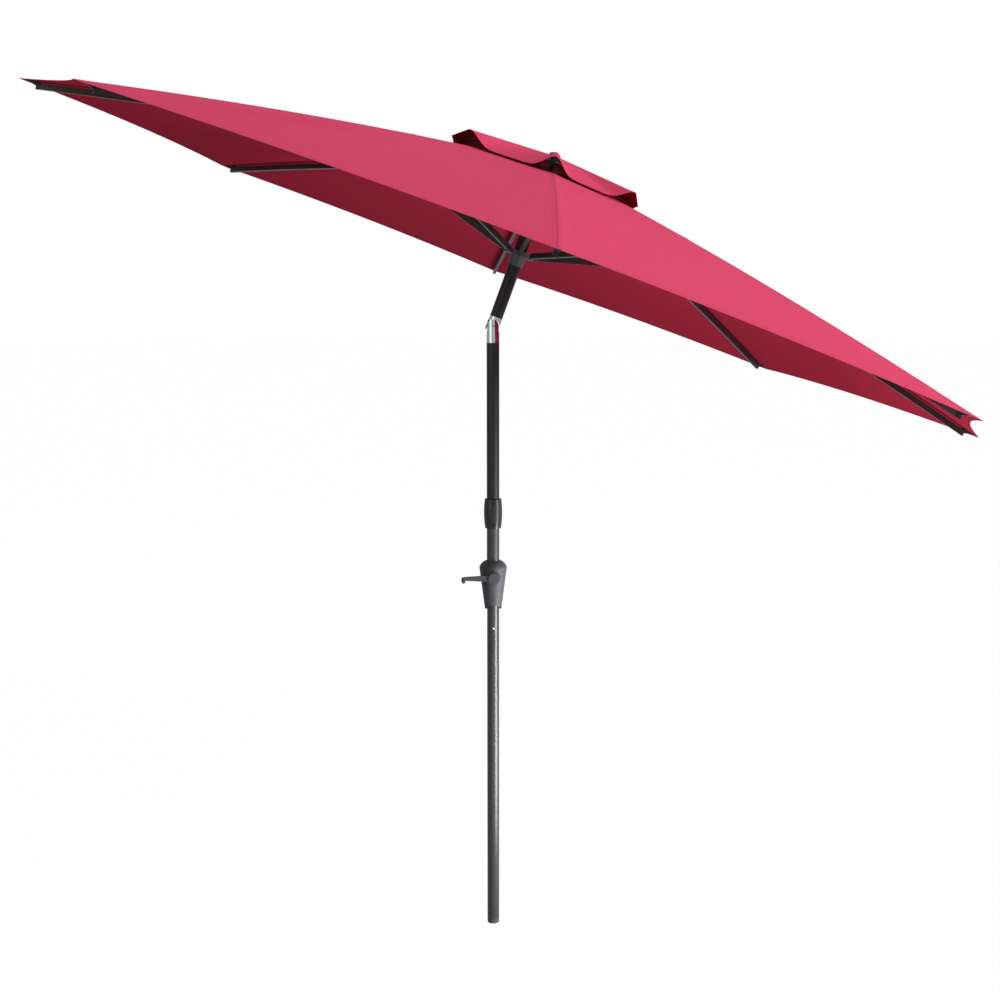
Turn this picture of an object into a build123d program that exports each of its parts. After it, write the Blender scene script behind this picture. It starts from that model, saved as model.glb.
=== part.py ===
from build123d import *
import os
from math import atan2, cos, degrees, exp, hypot, pi, sin, sqrt

# Market umbrella on a straight pole, open and tilted at its push-button knuckle.
# Millimetres. The origin is the centre of the pole's lower end, +Z runs up the pole,
# +X is the way the canopy tilts and -Y is the crank side.

# Tubes
POLE_D = 39.0
POLE_WALL = 1.5
SEAT_GAP = 0.05
OVERCUT = 1.0

# Lower pole and its foot cap
FOOT_CAP = 13.0
FOOT_CAP_D = 37.2
FOOT_PLUG = 25.0
LOWER_POLE = 1027.0
LOWER_POLE_D = 38.0
FOOT_HOLE_Z = 113.0
FOOT_HOLE_D = 6.0

# Spigot and spring button that join the lower pole to the crank pole
SPIGOT_BELOW = 110.0
SPIGOT_ABOVE = 50.0
SNAP_DROP = 62.0
SNAP_D = 8.0
SNAP_SINK = 0.1
SNAP_LENGTH = 7.0
SNAP_DOME = 2.8
LEAF_WIDTH = 9.0
LEAF_T = 0.8
LEAF_LENGTH = 30.0

# Crank pole and the joint under the collar
CRANK_POLE = 301.0
MIDDLE_POLE = 526.0
SLEEVE_HALF = 42.0
COLLAR_BELOW = 46.0
COLLAR_ABOVE = 46.0
COLLAR_LOW_D = 49.0
COLLAR_D = 57.0
COLLAR_TOP_D = 51.0
COLLAR_EDGE = 1.6
COLLAR_SCREW_D = 4.0
COLLAR_SCREW_HEAD_D = 7.0
COLLAR_SCREW_HEAD = 3.0
COLLAR_SCREW_SINK = 1.2
COLLAR_SCREW_OFF = 33.6

# Crank housing
HOUSING_LOW_D = 52.0
HOUSING_WIDE_D = 86.0
HOUSING_WIDE = 131.0
HOUSING_HEIGHT = 152.0
HOUSING_TOP_D = 44.0
HOUSING_WALL = 3.0
HOUSING_ARCH = 13.0
HOUSING_NECK = 8.0
SHOULDER_OUT = 0.13
SHOULDER_UP = 0.62
BEARING_BOSS_D = 42.0
HOUSING_SCREW_D = 4.0
HOUSING_SCREW_HEAD_D = 7.5
HOUSING_SCREW_HEAD = 3.0
HOUSING_SCREW_BOSS_D = 9.0
HOUSING_SCREW_X = 28.0
HOUSING_SCREW_RISE = 116.0

# Crank
CRANK_RISE = 104.0
SHAFT_D = 10.0
RUN_GAP = 0.05
CRANK_FACE_GAP = 1.5
CRANK_HUB_D = 36.0
CRANK_HUB = 11.0
CRANK_ARM = 94.0
CRANK_ROOT = 22.0
CRANK_TIP = 10.0
CRANK_PLATE = 8.0
KNOB_D = 13.0
KNOB = 36.0
KNOB_PIN_D = 6.0
KNOB_HEAD_D = 9.0
KNOB_HEAD = 2.0
CRANK_SCREW_D = 5.0
CRANK_SCREW_HEAD_D = 9.0
CRANK_SCREW_HEAD = 2.5
CRANK_SCREW = 16.0
DRUM_CORE_D = 23.0
DRUM_FLANGE_D = 28.0
DRUM_WIDTH = 18.0
DRUM_FLANGE = 2.0

# Tilt knuckle
TILT = 20.2
KNUCKLE_LOWER = 51.0
KNUCKLE_UPPER = 28.0
KNUCKLE_PLUG = 36.0
CHEEK_GAP = 17.6
TONGUE = 17.0
TONGUE_R = 13.0
TILT_PIN_D = 8.0
KNUCKLE_CLEAR = 0.4
BUTTON_WIDTH = 16.8
BUTTON_LOW = 16.0
BUTTON_HIGH = 14.0
BUTTON_T = 3.4
BUTTON_PROUD = 0.8
BUTTON_TRAVEL = 2.5
BUTTON_STEM_D = 6.0
BUTTON_STEM_RISE = 8.5
BUTTON_STEM = 9.0
BUTTON_SPRING = 8.0
SPRING_WIRE = 1.0

# Canopy cloth, heights measured from the tilt axis along the mast
CANOPY_R = 1550.0
RIM_HEIGHT = 197.0
CROWN_HEIGHT = 509.0
RIB_BOW = 17.0
HEM_DIP = 33.0
CLOTH = 0.8
CLOTH_GAP = 0.3
VENT_OPENING_R = 250.0

# Vent cloth over the top opening: each corner's distance and arch, in the order of the ribs,
# and the two gores whose hem is stretched straight
VENT_END = (300.0, 26.0)
VENT_SIDE = (345.0, 47.0)
VENT_QUARTER = (356.0, 45.0)
VENT_CORNERS = (VENT_END, VENT_QUARTER, VENT_SIDE, VENT_QUARTER) * 2
VENT_TAUT = (4, 7)
VENT_SHIFT = 11.0
VENT_RISE = 29.0
VENT_DIP = 12.0
VENT_LIFT = 6.0
VENT_LOBE = 6.5
VENT_HOLE_R = 7.0
VENT_RINGS = (0.0, 0.25, 0.6, 1.0)
VENT_STEPS = 8
STAY_D = 3.0
STAY_DROP = 4.0
STAY_ROOT_R = 14.7
STAY_SHORT = 12.0

# Ribs and struts
RIB_COUNT = 8
RIB_WIDTH = 12.0
RIB_DEPTH = 18.0
RIB_WALL = 0.8
RIB_CLEAR = 7.0
RIB_START = 59.0
RIB_END = 1484.0
TIP_CAP = 11.0
TIP_PLUG = 16.0
TIP_TOE = 1527.0
TIP_TOE_WIDTH = 8.0
EYE_T = 6.4
EYE_R = 6.0
STRUT_WIDTH = 12.0
STRUT_DEPTH = 16.0
STRUT_WALL = 1.0
STRUT_REACH = 550.0
BRACKET_DROP = 11.0
BRACKET = 22.0
BRACKET_T = 1.8
STRUT_PIN_D = 6.0
STRUT_PIN_PLAY = 1.3

# Crown hub on top of the mast, and the runner that slides on the mast
HUB_D = 96.0
HUB_FLANGE = 14.0
PIVOT_R = 40.0
PIVOT_PIN_D = 4.0
PIVOT_PIN = 17.0
SLOT_WIDTH = 7.2
SLOT_START_R = 31.0
CROWN_SLEEVE = 34.0
CROWN_SLEEVE_D = 46.0
CROWN_CAP = 6.0
CROWN_ROOF = 7.0
CROWN_CAP_D = 42.0
CROWN_BORE_D = 31.0
RUNNER_HEIGHT = 231.0
RUNNER_SLEEVE = 32.0
RUNNER_TOP_D = 52.0
RUNNER_LOW_D = 44.0
RUNNER_GAP = 0.35
PULLEY_D = 18.0
PULLEY_GROOVE = 2.5
PULLEY_WIDTH = 8.0
PULLEY_PIN_D = 5.0
PULLEY_GAP = 1.0
PULLEY_PIN_SEAT = 3.0
VENT_HUB_D = 44.0
VENT_HUB = 10.0
VENT_HUB_GAP = 0.6
VENT_STEM_D = 18.0
FINIAL_D = 36.0
FINIAL = 11.0
FINIAL_RIM = 3.5
STUD_D = 8.0

# Heights that follow from the lengths above
POLE_R = POLE_D / 2
BORE_R = POLE_R - POLE_WALL
PLUG_R = BORE_R - SEAT_GAP
POLE_JOINT = FOOT_CAP + LOWER_POLE
POLE_SPLIT = POLE_JOINT + CRANK_POLE
KNUCKLE_Z = POLE_SPLIT + MIDDLE_POLE
HINGE_Z = KNUCKLE_Z + KNUCKLE_LOWER
SNAP_Z = POLE_JOINT - SNAP_DROP
HOUSING_Z = POLE_JOINT
CRANK_Z = HOUSING_Z + CRANK_RISE
HALF_GORE = pi / RIB_COUNT
MAST = Location((0, 0, HINGE_Z), (0, TILT, 0))

LOW = (Align.CENTER, Align.CENTER, Align.MIN)


def save(name, shape):
    export_step(shape, f"parts/{name}.step")


def group(solids):
    return Compound(children=list(solids))


def rod(radius, low, high, x=0.0, y=0.0):
    return Pos(x, y, low) * Cylinder(radius, high - low, align=LOW)


def rod_x(radius, start, end, y=0.0, z=0.0):
    return Pos(start, y, z) * Rot(0, 90, 0) * Cylinder(radius, end - start, align=LOW)


def rod_y(radius, start, end, x=0.0, z=0.0):
    return Pos(x, start, z) * Rot(-90, 0, 0) * Cylinder(radius, end - start, align=LOW)


def tube(outer, inner, low, high):
    return rod(outer, low, high) - rod(inner, low, high)


def block(x0, x1, y0, y1, z0, z1):
    centre = Pos((x0 + x1) / 2, (y0 + y1) / 2, (z0 + z1) / 2)
    return centre * Box(x1 - x0, y1 - y0, z1 - z0)


def spun(edges):
    return revolve(Plane.XZ * make_face(edges), Axis.Z)


def around(shape):
    # One copy of a piece for every rib, on the mast's own axis
    step = 360 / RIB_COUNT
    return [Rot(0, 0, step * k) * shape for k in range(RIB_COUNT)]


def cloth_height(radius):
    # Top of the cloth along a rib: a straight slope with a slight arch
    share = radius / CANOPY_R
    slope = RIM_HEIGHT + (CROWN_HEIGHT - RIM_HEIGHT) * (1 - share)
    return slope + RIB_BOW * 4 * share * (1 - share)


def rib_top(radius):
    return cloth_height(radius) - CLOTH - RIB_CLEAR


def arched_face(start, end, height, depth):
    # Side view of a band that follows the arch, between two distances from the mast
    middle = (start + end) / 2
    top = [(r, height(r)) for r in (start, middle, end)]
    low = [(r, h - depth) for r, h in top]
    upper = ThreePointArc(*top)
    lower = ThreePointArc(*low)
    return Plane.XZ * make_face([upper, Line(top[2], low[2]), lower, Line(low[0], top[0])])


def banded(start, end, height, depth, width):
    return extrude(arched_face(start, end, height, depth), width / 2, both=True)


# Points of the linkage, in the upright plane of one rib
CROWN_PIVOT = (PIVOT_R, rib_top(PIVOT_R) - RIB_DEPTH / 2)
RUNNER_PIVOT = (PIVOT_R, RUNNER_HEIGHT)
RIB_UNDER = rib_top(STRUT_REACH) - RIB_DEPTH
RIB_FALL = atan2(rib_top(STRUT_REACH + BRACKET / 2) - rib_top(STRUT_REACH - BRACKET / 2), BRACKET)
STRUT_PIVOT = (STRUT_REACH + BRACKET_DROP * sin(RIB_FALL), RIB_UNDER - BRACKET_DROP * cos(RIB_FALL))
STRUT_RUN = STRUT_PIVOT[0] - RUNNER_PIVOT[0]
STRUT_RISE = STRUT_PIVOT[1] - RUNNER_PIVOT[1]
STRUT_LENGTH = hypot(STRUT_RUN, STRUT_RISE)
STRUT_ANGLE = degrees(atan2(STRUT_RISE, STRUT_RUN))
VENT_PEAK = CROWN_HEIGHT + VENT_RISE
CROWN_TOP = CROWN_PIVOT[1] + HUB_FLANGE / 2
CROWN_LOW = CROWN_PIVOT[1] - HUB_FLANGE / 2


def lower_poles():
    foot = rod(FOOT_CAP_D / 2, 0, FOOT_CAP) + rod(PLUG_R, FOOT_CAP, FOOT_CAP + FOOT_PLUG)
    save("foot_plug", foot)

    snap_bore = rod_y(SNAP_D / 2 + RUN_GAP, -POLE_D, 0, z=SNAP_Z)
    pole = tube(LOWER_POLE_D / 2, BORE_R, FOOT_CAP, POLE_JOINT)
    pole -= snap_bore
    pole -= rod_x(FOOT_HOLE_D / 2, 0, POLE_D, z=FOOT_HOLE_Z)
    save("lower_pole", pole)

    spigot_bore = PLUG_R - POLE_WALL
    spigot = tube(PLUG_R, spigot_bore, POLE_JOINT - SPIGOT_BELOW, POLE_JOINT + SPIGOT_ABOVE)
    save("pole_spigot", spigot - snap_bore)

    # Domed button, held out by a bent leaf that bears on the far wall of the spigot
    head = -LOWER_POLE_D / 2 + SNAP_SINK
    tail = head + SNAP_LENGTH
    button = rod_y(SNAP_D / 2, head, tail, z=SNAP_Z)
    button = fillet(button.edges().group_by(Axis.Y)[0], SNAP_DOME)
    save("snap_button", button)
    front = block(-LEAF_WIDTH / 2, LEAF_WIDTH / 2, tail, tail + LEAF_T,
                  SNAP_Z - LEAF_LENGTH, SNAP_Z + SNAP_D)
    back_y = sqrt(spigot_bore ** 2 - (LEAF_WIDTH / 2) ** 2)
    rear = block(-LEAF_WIDTH / 2, LEAF_WIDTH / 2, back_y - LEAF_T, back_y,
                 SNAP_Z - LEAF_LENGTH, SNAP_Z + SNAP_D)
    foot = block(-LEAF_WIDTH / 2, LEAF_WIDTH / 2, tail, back_y,
                 SNAP_Z - LEAF_LENGTH - LEAF_T, SNAP_Z - LEAF_LENGTH)
    save("snap_leaf", front + foot + rear)

    # Crank pole, open where the shaft crosses it
    pole = tube(POLE_R, BORE_R, POLE_JOINT, POLE_SPLIT)
    pole -= rod_y(SHAFT_D / 2 + 2 * POLE_WALL, -POLE_D, POLE_D, z=CRANK_Z)
    pole -= collar_screw_bores()
    save("crank_pole", pole)

    pole = tube(POLE_R, BORE_R, POLE_SPLIT, KNUCKLE_Z)
    save("middle_pole", pole - collar_screw_bores())

    sleeve = tube(PLUG_R, PLUG_R - POLE_WALL, POLE_SPLIT - SLEEVE_HALF, POLE_SPLIT + SLEEVE_HALF)
    save("joining_sleeve", sleeve - collar_screw_bores())


def collar_screw_heights():
    return (POLE_SPLIT - COLLAR_SCREW_OFF, POLE_SPLIT + COLLAR_SCREW_OFF)


def collar_screw_bores():
    radius = COLLAR_SCREW_D / 2 + SEAT_GAP
    bores = [rod_y(radius, -POLE_D, 0, z=z) for z in collar_screw_heights()]
    return bores[0] + bores[1]


def collar_radius(z):
    # Barrel side of the collar as a circular arc through its three diameters
    share = (z - POLE_SPLIT + COLLAR_BELOW) / (COLLAR_BELOW + COLLAR_ABOVE)
    ends = COLLAR_LOW_D + (COLLAR_TOP_D - COLLAR_LOW_D) * share
    swell = COLLAR_D - (COLLAR_LOW_D + COLLAR_TOP_D) / 2
    return (ends + swell * 4 * share * (1 - share)) / 2


def collar():
    low = POLE_SPLIT - COLLAR_BELOW
    high = POLE_SPLIT + COLLAR_ABOVE
    bore = POLE_R + SEAT_GAP
    belly = (COLLAR_D / 2, (low + high) / 2)
    side = ThreePointArc((COLLAR_LOW_D / 2, low), belly, (COLLAR_TOP_D / 2, high))
    inner = Polyline((COLLAR_TOP_D / 2, high), (bore, high), (bore, low), (COLLAR_LOW_D / 2, low))
    body = spun([side, inner])
    rims = body.edges().filter_by(GeomType.CIRCLE).sort_by(SortBy.RADIUS)[-2:]
    body = fillet(rims, COLLAR_EDGE)
    screws = []
    for z in collar_screw_heights():
        face = -collar_radius(z) + COLLAR_SCREW_SINK
        seat = face + COLLAR_SCREW_HEAD
        head_r = COLLAR_SCREW_HEAD_D / 2
        body -= rod_y(head_r + SEAT_GAP, -COLLAR_D, seat, z=z)
        body -= rod_y(COLLAR_SCREW_D / 2 + SEAT_GAP, seat, 0, z=z)
        tip = -PLUG_R + POLE_WALL
        screws.append(rod_y(head_r, face, seat, z=z) + rod_y(COLLAR_SCREW_D / 2, seat, tip, z=z))
    save("pole_collar", body)
    save("collar_screws", group(screws))


def housing_radius(rise):
    share = rise / HOUSING_WIDE
    return (HOUSING_LOW_D + (HOUSING_WIDE_D - HOUSING_LOW_D) * share) / 2


def housing_solid(inset):
    # Cone that widens upwards under a domed shoulder, drawn in by the wall for the hollow
    low = HOUSING_Z
    wide = HOUSING_Z + HOUSING_WIDE
    high = HOUSING_Z + HOUSING_HEIGHT - inset
    top_r = HOUSING_TOP_D / 2 - inset / 2
    low_r = HOUSING_LOW_D / 2 - inset
    wide_r = HOUSING_WIDE_D / 2 - inset
    mid_r = (wide_r + top_r) / 2 + (wide_r - top_r) * SHOULDER_OUT
    mid_z = wide + (high - wide) * SHOULDER_UP
    shoulder = ThreePointArc((wide_r, wide), (mid_r, mid_z), (top_r, high))
    walls = Polyline((top_r, high), (0, high), (0, low), (low_r, low), (wide_r, wide))
    return spun([shoulder, walls])


def housing():
    outer = housing_solid(0)
    front_y = -(HOUSING_WIDE_D / 2 + CRANK_FACE_GAP)
    boss = rod_y(BEARING_BOSS_D / 2, front_y, 0, z=CRANK_Z)
    inner = housing_solid(HOUSING_WALL)
    neck = rod(HOUSING_WIDE_D, HOUSING_Z - OVERCUT, HOUSING_Z + HOUSING_NECK)
    shell = outer - (inner - neck)
    shaft_seat = HOUSING_SCREW_BOSS_D / 2 + SHAFT_D / 2
    bearing = rod_y(shaft_seat, POLE_R, HOUSING_WIDE_D / 2, z=CRANK_Z) & outer
    wall_boss = boss - rod_y(shaft_seat, front_y + HOUSING_WALL, 0, z=CRANK_Z)
    shell = shell + wall_boss + bearing
    screw_z = HOUSING_Z + HOUSING_SCREW_RISE
    for side in (-1, 1):
        x = side * HOUSING_SCREW_X
        post = rod_y(HOUSING_SCREW_BOSS_D / 2, -HOUSING_WIDE_D, HOUSING_WIDE_D, x=x, z=screw_z)
        shell = shell + (post & outer)
    low = HOUSING_Z - OVERCUT
    top = HOUSING_Z + HOUSING_HEIGHT + OVERCUT
    shaft_end = HOUSING_WIDE_D / 2 - 2 * HOUSING_WALL
    shell -= rod(POLE_R + SEAT_GAP, low, top)
    shell -= rod_y(SHAFT_D / 2 + RUN_GAP, front_y - OVERCUT, shaft_end, z=CRANK_Z)

    # Lower lip, cut in an arch across the front
    lip_r = (HOUSING_LOW_D ** 2 / 4 + HOUSING_ARCH ** 2) / (2 * HOUSING_ARCH)
    arch = rod_y(lip_r, -HOUSING_WIDE_D, -POLE_R / 2, z=HOUSING_Z + HOUSING_ARCH - lip_r)
    shell -= arch

    screws = []
    reach = sqrt(housing_radius(HOUSING_SCREW_RISE) ** 2 - HOUSING_SCREW_X ** 2)
    for side in (-1, 1):
        x = side * HOUSING_SCREW_X
        seat = reach - 2 * HOUSING_SCREW_HEAD
        tip = -reach + 2 * HOUSING_WALL
        shank_r = HOUSING_SCREW_D / 2
        shell -= rod_y(HOUSING_SCREW_HEAD_D / 2 + SEAT_GAP, seat, HOUSING_WIDE_D, x=x, z=screw_z)
        shell -= rod_y(shank_r + SEAT_GAP, tip, seat, x=x, z=screw_z)
        head = rod_y(HOUSING_SCREW_HEAD_D / 2, seat, seat + HOUSING_SCREW_HEAD, x=x, z=screw_z)
        screws.append(head + rod_y(shank_r, tip, seat, x=x, z=screw_z))
    save("housing_screws", group(screws))
    wide = HOUSING_WIDE_D
    save("housing_front", shell & block(-wide, wide, -wide, 0, low, top))
    save("housing_back", shell & block(-wide, wide, 0, wide, low, top))


def crank():
    hub_back = -(HOUSING_WIDE_D / 2 + 2 * CRANK_FACE_GAP)
    hub_front = hub_back - CRANK_HUB
    shaft_end = HOUSING_WIDE_D / 2 - 2 * HOUSING_WALL - CRANK_FACE_GAP
    shaft = rod_y(SHAFT_D / 2, hub_back, shaft_end, z=CRANK_Z)
    screw_hole = rod_y(CRANK_SCREW_D / 2 + SEAT_GAP, hub_front, hub_front + CRANK_SCREW, z=CRANK_Z)
    save("crank_shaft", shaft - screw_hole)

    half = DRUM_WIDTH / 2
    drum = rod_y(DRUM_CORE_D / 2, -half, half, z=CRANK_Z)
    for start in (-half, half - DRUM_FLANGE):
        drum += rod_y(DRUM_FLANGE_D / 2, start, start + DRUM_FLANGE, z=CRANK_Z)
    save("winding_drum", drum - rod_y(SHAFT_D / 2 + SEAT_GAP, -half, half, z=CRANK_Z))

    # Flat arm that tapers from the hub to the handle pin
    root = CRANK_ROOT / 2
    tip = CRANK_TIP / 2
    outline = Polyline((0, root), (-CRANK_ARM, tip), (-CRANK_ARM, -tip), (0, -root), close=True)
    plate = make_face(outline) + Pos(-CRANK_ARM, 0) * Circle(tip)
    plate_face = Plane((0, hub_back, CRANK_Z), x_dir=(1, 0, 0), z_dir=(0, -1, 0))
    arm = extrude(plate_face * plate, CRANK_PLATE)
    arm += rod_y(CRANK_HUB_D / 2, hub_front, hub_back, z=CRANK_Z)
    arm = fillet(arm.edges().filter_by(GeomType.CIRCLE).group_by(Axis.Y)[0], CRANK_FACE_GAP)
    head_seat = hub_front + CRANK_SCREW_HEAD
    arm -= rod_y(CRANK_SCREW_HEAD_D / 2 + SEAT_GAP, hub_front - OVERCUT, head_seat, z=CRANK_Z)
    arm -= screw_hole
    pin_front = hub_back - CRANK_PLATE - KNOB - CRANK_FACE_GAP
    arm += rod_y(KNOB_PIN_D / 2, pin_front, hub_back, x=-CRANK_ARM, z=CRANK_Z)
    arm += rod_y(KNOB_HEAD_D / 2, pin_front - KNOB_HEAD, pin_front, x=-CRANK_ARM, z=CRANK_Z)
    save("crank_arm", arm)

    screw = rod_y(CRANK_SCREW_HEAD_D / 2, hub_front, head_seat, z=CRANK_Z)
    screw += rod_y(CRANK_SCREW_D / 2, head_seat, hub_front + CRANK_SCREW, z=CRANK_Z)
    save("crank_screw", screw)

    knob_back = hub_back - CRANK_PLATE - CRANK_FACE_GAP / 2
    knob = rod_y(KNOB_D / 2, knob_back - KNOB, knob_back, x=-CRANK_ARM, z=CRANK_Z)
    knob = fillet(knob.edges().filter_by(GeomType.CIRCLE), CRANK_FACE_GAP)
    knob -= rod_y(KNOB_PIN_D / 2 + RUN_GAP, knob_back - KNOB, knob_back, x=-CRANK_ARM, z=CRANK_Z)
    save("crank_knob", knob)


def knuckle():
    # Lower half: a fork whose rounded cheeks stand either side of the tongue
    pin_r = TILT_PIN_D / 2
    half_gap = CHEEK_GAP / 2
    swing = hypot(POLE_R + BUTTON_PROUD, BUTTON_LOW) + KNUCKLE_CLEAR
    stem = rod(POLE_R, KNUCKLE_Z, HINGE_Z)
    cheeks = rod(POLE_R, HINGE_Z, HINGE_Z + POLE_R) & rod_y(POLE_R, -POLE_R, POLE_R, z=HINGE_Z)
    lower = stem + cheeks + rod(PLUG_R, KNUCKLE_Z - KNUCKLE_PLUG, KNUCKLE_Z)
    lower -= rod_y(swing, -half_gap, half_gap, z=HINGE_Z)
    lower -= block(-POLE_D, POLE_D, -half_gap, half_gap, HINGE_Z, HINGE_Z + POLE_D)
    save("knuckle_lower", lower - rod_y(pin_r + SEAT_GAP / 2, -POLE_D, POLE_D, z=HINGE_Z))
    pin = rod_y(pin_r, -POLE_R, POLE_R, z=HINGE_Z) & rod(POLE_R, HINGE_Z - POLE_R, HINGE_Z + POLE_R)
    save("tilt_pin", pin)

    # Upper half: a tongue under a collar that carries the mast
    half_tongue = TONGUE / 2
    body = rod(POLE_R, 0, KNUCKLE_UPPER) - rod_y(POLE_R + KNUCKLE_CLEAR, -POLE_D, POLE_D)
    neck = block(-TONGUE_R, TONGUE_R, -half_tongue, half_tongue, 0, KNUCKLE_UPPER)
    upper = body + neck + rod_y(TONGUE_R, -half_tongue, half_tongue)
    upper += rod(PLUG_R, KNUCKLE_UPPER, KNUCKLE_UPPER + KNUCKLE_PLUG)
    plate_in = -POLE_R - BUTTON_PROUD + BUTTON_T
    upper -= block(-POLE_D, plate_in + BUTTON_TRAVEL + KNUCKLE_CLEAR, -half_gap, half_gap,
                   -POLE_D, BUTTON_HIGH + KNUCKLE_CLEAR)
    upper -= rod_y(pin_r + RUN_GAP, -POLE_D, POLE_D)
    stem_end = plate_in + BUTTON_STEM
    bore_end = stem_end + BUTTON_SPRING
    upper -= rod_x(BUTTON_STEM_D / 2 + RUN_GAP, -POLE_D, bore_end, z=BUTTON_STEM_RISE)
    save("knuckle_upper", MAST * upper)

    half_width = BUTTON_WIDTH / 2
    plate = rod(POLE_R + BUTTON_PROUD, -BUTTON_LOW, BUTTON_HIGH)
    plate = plate & block(-POLE_D, plate_in, -half_width, half_width, -BUTTON_LOW, BUTTON_HIGH)
    button = plate + rod_x(BUTTON_STEM_D / 2, plate_in - BUTTON_T / 2, stem_end, z=BUTTON_STEM_RISE)
    save("tilt_button", MAST * button)
    spring = rod_x(BUTTON_STEM_D / 2 - SEAT_GAP, stem_end, bore_end, z=BUTTON_STEM_RISE)
    spring -= rod_x(BUTTON_STEM_D / 2 - SPRING_WIRE, stem_end, bore_end, z=BUTTON_STEM_RISE)
    save("button_spring", MAST * spring)


def pivot_pins(height, gap):
    pin = rod_y(PIVOT_PIN_D / 2 + gap, -PIVOT_PIN / 2, PIVOT_PIN / 2, x=PIVOT_R, z=height)
    return around(pin)


def slotted_flange(height):
    # Disc with one open slot and one pin hole for every rib
    flange = rod(HUB_D / 2, height - HUB_FLANGE / 2, height + HUB_FLANGE / 2)
    half = SLOT_WIDTH / 2
    slot = block(SLOT_START_R, HUB_D, -half, half, height - HUB_FLANGE, height + HUB_FLANGE)
    for cut in around(slot):
        flange -= cut
    for hole in pivot_pins(height, SEAT_GAP / 2):
        flange -= hole
    return flange


def mast():
    pole_top = CROWN_LOW
    save("upper_pole", MAST * tube(POLE_R, BORE_R, KNUCKLE_UPPER, pole_top))

    # Crown hub, with the lifting pulley in its hollow
    crown = slotted_flange(CROWN_PIVOT[1])
    crown += rod(CROWN_SLEEVE_D / 2, CROWN_LOW - CROWN_SLEEVE, CROWN_LOW)
    crown += rod(CROWN_CAP_D / 2, CROWN_TOP, CROWN_TOP + CROWN_CAP)
    crown -= rod(POLE_R + SEAT_GAP, CROWN_LOW - CROWN_SLEEVE, CROWN_LOW)
    cap_top = CROWN_TOP + CROWN_CAP
    roof = cap_top - CROWN_ROOF
    crown -= rod(CROWN_BORE_D / 2, CROWN_LOW, roof)
    pulley_z = roof - PULLEY_GAP - PULLEY_D / 2
    pin_half = CROWN_BORE_D / 2 + PULLEY_PIN_SEAT
    pin_r = PULLEY_PIN_D / 2
    crown -= rod_y(pin_r + SEAT_GAP, -pin_half, pin_half, z=pulley_z)
    stud_low = CROWN_TOP
    crown -= rod(STUD_D / 2 + SEAT_GAP, stud_low, cap_top)
    save("crown_hub", MAST * crown)
    save("crown_pins", MAST * group(pivot_pins(CROWN_PIVOT[1], 0)))
    save("pulley_pin", MAST * rod_y(pin_r, -pin_half, pin_half, z=pulley_z))

    half = PULLEY_WIDTH / 2
    groove_r = PULLEY_D / 2 - PULLEY_GROOVE
    rim_r = PULLEY_D / 2
    rim = Polyline((0, -half), (rim_r, -half), (groove_r, 0), (rim_r, half), (0, half), close=True)
    wheel = spun(rim)
    wheel = Pos(0, 0, pulley_z) * Rot(90, 0, 0) * wheel
    save("lift_pulley", MAST * (wheel - rod_y(pin_r + RUN_GAP, -half, half, z=pulley_z)))

    # Vent hub and finial, stacked on the crown and drawn down by one stud
    stem_top = vent_hub_top(VENT_STEM_D / 2)
    disc_top = vent_hub_top(VENT_HUB_D / 2)
    vent_hub = rod(VENT_STEM_D / 2, cap_top, stem_top)
    vent_hub += rod(VENT_HUB_D / 2, disc_top - VENT_HUB, disc_top)
    for hole in vent_stays(STAY_D / 2 + SEAT_GAP):
        vent_hub -= hole
    vent_hub -= rod(STUD_D / 2 + SEAT_GAP, cap_top, stem_top)
    save("vent_hub", MAST * vent_hub)
    save("vent_stays", MAST * group(vent_stays(STAY_D / 2)))
    finial_low = VENT_PEAK + SEAT_GAP
    finial_r = FINIAL_D / 2
    dome_low = finial_low + FINIAL_RIM
    dome_rise = FINIAL - FINIAL_RIM
    dome_r = (finial_r ** 2 + dome_rise ** 2) / (2 * dome_rise)
    ball = Pos(0, 0, dome_low + dome_rise - dome_r) * Sphere(dome_r)
    finial = ball & rod(finial_r, finial_low, dome_low + dome_rise)
    finial += rod(STUD_D / 2, stud_low, finial_low)
    save("finial", MAST * finial)


def vent_corner(k):
    # Distance and height of a corner of the vent cloth
    corner_r, arch = VENT_CORNERS[k % RIB_COUNT]
    return corner_r, cloth_height(corner_r) + arch


def vent_line(k, radius):
    # Height of the vent cloth's ridge, from the finial to a corner
    corner_r, corner_h = vent_corner(k)
    return VENT_PEAK - (VENT_PEAK - corner_h) * radius / corner_r


def vent_hub_top(radius):
    # The hub stays clear of the cloth under its lowest ridge
    return min(vent_line(k, radius) for k in range(RIB_COUNT)) - CLOTH - VENT_HUB_GAP


def vent_stay(k, radius):
    # Thin rod from the hub's rim to a corner; the hem sits off centre, towards the raised side
    turn = 2 * HALF_GORE * k
    corner_r = vent_corner(k)[0]
    tip_r = corner_r - STAY_SHORT
    root_h = vent_hub_top(VENT_HUB_D / 2) - VENT_HUB / 2
    tip_h = vent_line(k, tip_r) - STAY_DROP
    ends = []
    for r, h in ((STAY_ROOT_R, root_h), (tip_r, tip_h)):
        ends.append(Vector(r * cos(turn) - VENT_SHIFT * r / corner_r, r * sin(turn), h))
    run = ends[1] - ends[0]
    return Plane(ends[0], z_dir=run) * Cylinder(radius, run.length, align=LOW)


def vent_stays(radius):
    return [vent_stay(k, radius) for k in range(RIB_COUNT)]


def gore_height(distance):
    # Height of a gore at a distance from the mast, measured along the gore's own middle line
    return cloth_height(distance / cos(HALF_GORE))


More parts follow.
